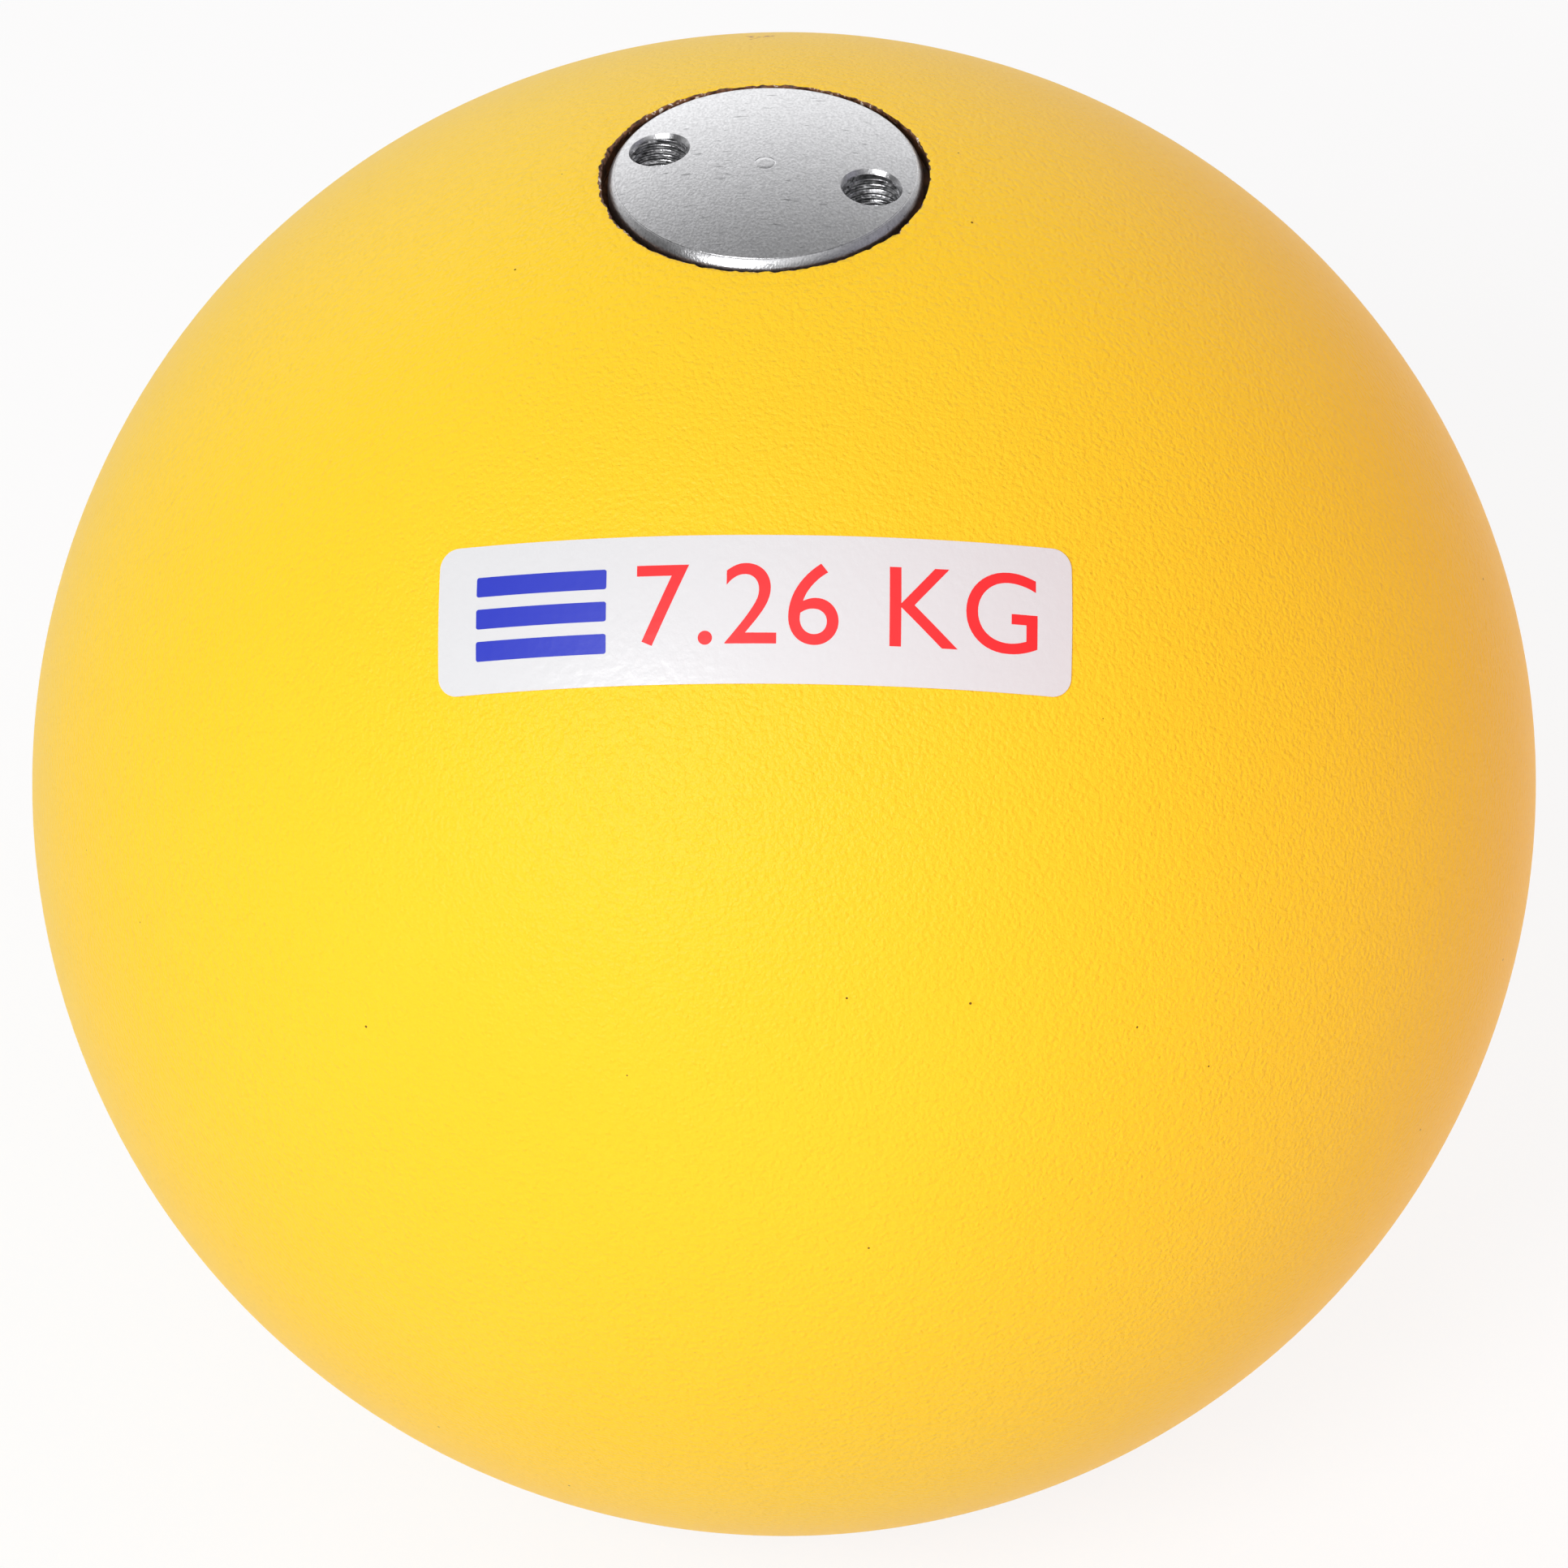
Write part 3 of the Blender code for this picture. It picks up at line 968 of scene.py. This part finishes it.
def lay_on_ball(piece, lift):
    """Bend a flat piece, drawn in X and Y, round the ball where the label goes."""
    tilt = Matrix.Rotation(LABEL_POLAR, 3, "X")
    for vert in piece.data.vertices:
        along = vert.co.x / BALL_R
        up = vert.co.y / BALL_R
        radius = BALL_R + lift + vert.co.z
        flat = Vector(
            (
                math.cos(up) * math.sin(along),
                math.sin(up),
                math.cos(up) * math.cos(along),
            )
        )
        vert.co = tilt @ (flat * radius)


def thicken(piece, thickness):
    sheet = piece.modifiers.new("sheet", "SOLIDIFY")
    sheet.thickness = thickness
    sheet.offset = 1.0
    apply_modifiers(piece)


def rounded_strip(name, length, height, corner_r, centre=(0.0, 0.0)):
    """A flat strip with round corners."""
    deselect_all()
    bpy.ops.mesh.primitive_plane_add(size=1.0, location=(*centre, 0.0))
    strip = bpy.context.object
    strip.name = name
    strip.scale = (length, height, 1.0)
    settle_place(strip)
    open_piece(strip)
    bpy.ops.mesh.select_all(action="SELECT")
    bpy.ops.mesh.bevel(offset=corner_r, segments=12, affect="VERTICES")
    close_piece()
    return strip


def print_on_label(piece, ink):
    """Lay a flat piece of print on the label."""
    cut_to_bend(piece)
    lay_on_ball(piece, LABEL_LIFT + LABEL_THICKNESS)
    thicken(piece, INK_THICKNESS)
    clean_up(piece)
    finish_piece(piece, "ball", "white_vinyl", ink)


def make_label():
    label = rounded_strip("label_sheet", LABEL_LENGTH, LABEL_HEIGHT, LABEL_CORNER_R)
    cut_to_bend(label)
    lay_on_ball(label, LABEL_LIFT)
    thicken(label, LABEL_THICKNESS)
    clean_up(label)
    smooth(label)
    finish_piece(label, "ball", "white_vinyl", vinyl, "label")
    for number, up in ((1, BAR_SPACING), (2, 0.0), (3, -BAR_SPACING)):
        name = f"label_bar_{number}"
        bar = rounded_strip(name, BAR_LENGTH, BAR_HEIGHT, BAR_CORNER_R, (BAR_X, up))
        print_on_label(bar, blue_ink)
    deselect_all()
    bpy.ops.object.text_add(location=(0, 0, 0))
    digits = bpy.context.object
    digits.name = "label_digits"
    digits.data.body = "7.26 KG"
    digits.data.size = DIGIT_SIZE
    digits.data.space_character = 1.04
    digits.data.align_x = "CENTER"
    digits.data.align_y = "CENTER"
    bpy.ops.object.convert(target="MESH")
    digits.location = (DIGITS_X, 0.0, 0.0)
    settle_place(digits)
    print_on_label(digits, red_ink)


make_coat()
make_casting()
make_plug()
make_seal()
make_cork()
make_ballast()
make_label()


# The stage: a pale floor, soft light, two lamps and the camera

FLOOR_SHOWN_WHITE = 0.85  # how much of the floor's look, to the camera and to gloss, is plain white
LAMP_DISTANCE = 1.3
CAMERA_DISTANCE = 0.945
CAMERA_LENS = 258.47  # millimetres, for a sensor 36 mm wide
CAMERA_TOWARD = (0.04071, -0.79401, 0.60654)
CAMERA_UP = (-0.000546, 0.607029, 0.794679)


def make_floor():
    deselect_all()
    bpy.ops.mesh.primitive_circle_add(
        vertices=96, radius=4.0, location=(0, 0, -BALL_R), fill_type="NGON"
    )
    floor = bpy.context.object
    floor.name = "floor"
    settle_place(floor)
    material, tree, shader = new_material("pale_floor")
    shader.inputs["Base Color"].default_value = linear("#F2F2F2")
    shader.inputs["Roughness"].default_value = 0.9
    path = add_node(tree, "ShaderNodeLightPath", {})
    glow = add_node(tree, "ShaderNodeEmission", {"Color": (1, 1, 1, 1), "Strength": 1.0})
    seen = add_node(
        tree,
        "ShaderNodeMath",
        {0: path.outputs["Is Camera Ray"], 1: path.outputs["Is Glossy Ray"]},
        operation="MAXIMUM",
    )
    seen = add_node(
        tree,
        "ShaderNodeMath",
        {0: seen.outputs[0], 1: path.outputs["Is Transmission Ray"]},
        operation="MAXIMUM",
    )
    share = add_node(
        tree, "ShaderNodeMath", {0: seen.outputs[0], 1: FLOOR_SHOWN_WHITE}, operation="MULTIPLY"
    )
    mixed = add_node(
        tree,
        "ShaderNodeMixShader",
        {0: share.outputs[0], 1: shader.outputs[0], 2: glow.outputs[0]},
    )
    tree.links.new(mixed.outputs[0], tree.nodes["Material Output"].inputs["Surface"])
    floor.data.materials.append(material)


def make_world(glows):
    """Soft light all round: broad glows of (direction, falloff, strength, colour)."""
    world = bpy.data.worlds.new("studio")
    bpy.context.scene.world = world
    world.use_nodes = True
    tree = world.node_tree
    background = tree.nodes["Background"]
    outward = add_node(tree, "ShaderNodeTexCoord", {}).outputs["Generated"]
    total = (0.0, 0.0, 0.0)
    for direction, falloff, strength, colour in glows:
        aim = Vector(direction).normalized()
        facing = add_node(
            tree, "ShaderNodeVectorMath", {0: outward, 1: aim}, operation="DOT_PRODUCT"
        )
        kept = add_node(
            tree, "ShaderNodeMath", {0: facing.outputs["Value"], 1: 0.0}, operation="MAXIMUM"
        )
        spread = add_node(
            tree, "ShaderNodeMath", {0: kept.outputs[0], 1: falloff}, operation="POWER"
        )
        light = [channel * strength for channel in linear(colour)[:3]]
        glow = add_node(
            tree, "ShaderNodeVectorMath", {0: light, "Scale": spread.outputs[0]}, operation="SCALE"
        )
        sum_so_far = add_node(
            tree, "ShaderNodeVectorMath", {0: total, 1: glow.outputs[0]}, operation="ADD"
        )
        total = sum_so_far.outputs[0]
    tree.links.new(total, background.inputs["Color"])
    background.inputs["Strength"].default_value = 1.0


def make_lamp(name, place, size, watts, colour):
    light = bpy.data.lights.new(name, "AREA")
    light.shape = "DISK"
    light.size = size
    light.energy = watts
    light.color = linear(colour)[:3]
    lamp = bpy.data.objects.new(name, light)
    bpy.context.scene.collection.objects.link(lamp)
    lamp.location = place
    lamp.rotation_euler = (-Vector(place)).to_track_quat("-Z", "Y").to_euler()
    return lamp


def make_camera():
    """The photograph's view, found from the ball's outline and the plug's rim."""
    toward = Vector(CAMERA_TOWARD).normalized()
    up = Vector(CAMERA_UP)
    right = up.cross(toward).normalized()
    up = toward.cross(right)
    data = bpy.data.cameras.new("camera")
    data.lens = CAMERA_LENS
    data.sensor_width = 36.0
    data.clip_start = 0.01
    data.clip_end = 50.0
    camera = bpy.data.objects.new("camera", data)
    bpy.context.scene.collection.objects.link(camera)
    turn = Matrix((right, up, toward)).transposed().to_4x4()
    camera.matrix_world = Matrix.Translation(toward * CAMERA_DISTANCE) @ turn
    bpy.context.scene.camera = camera
    return right, up, toward


def make_lamps(right, up, toward):
    """Disk lamps, each placed by how far it is turned and raised from the camera."""
    for name, turn, rise, size, watts, colour in (
        ("key_softbox", -21.0, 0.0, 0.5, 10.2, "#FFFFFF"),
        ("warm_fill", 75.0, 5.0, 0.8, 3.5, "#FF4A1E"),
    ):
        turn = math.radians(turn)
        rise = math.radians(rise)
        aim = (
            right * math.sin(turn) * math.cos(rise)
            + up * math.sin(rise)
            + toward * math.cos(turn) * math.cos(rise)
        )
        lamp = make_lamp(name, aim * LAMP_DISTANCE, size, watts, colour)
        # The warm lamp lights the paint, and nothing mirrors it
        lamp.visible_glossy = name != "warm_fill"


make_floor()
make_world(
    [
        ((0.0, 1.0, 0.2), 10.0, 0.8, "#FFFFFF"),
        ((-0.5, 0.85, 0.25), 10.0, 1.95, "#FFFFFF"),
        ((0.5, 0.85, 0.25), 10.0, 1.3, "#FFFFFF"),
        ((0.0, 0.0, 1.0), 2.0, 0.26, "#FFFFFF"),
        ((0.0, -0.6, 0.8), 6.0, 1.17, "#FFFFFF"),
        ((1.0, -0.1, 0.3), 8.0, 0.45, "#F2F0FF"),
        ((-1.0, 0.3, 0.15), 10.0, 0.4, "#FFFFFF"),
    ]
)
make_lamps(*make_camera())

bpy.context.scene.view_settings.view_transform = "Standard"
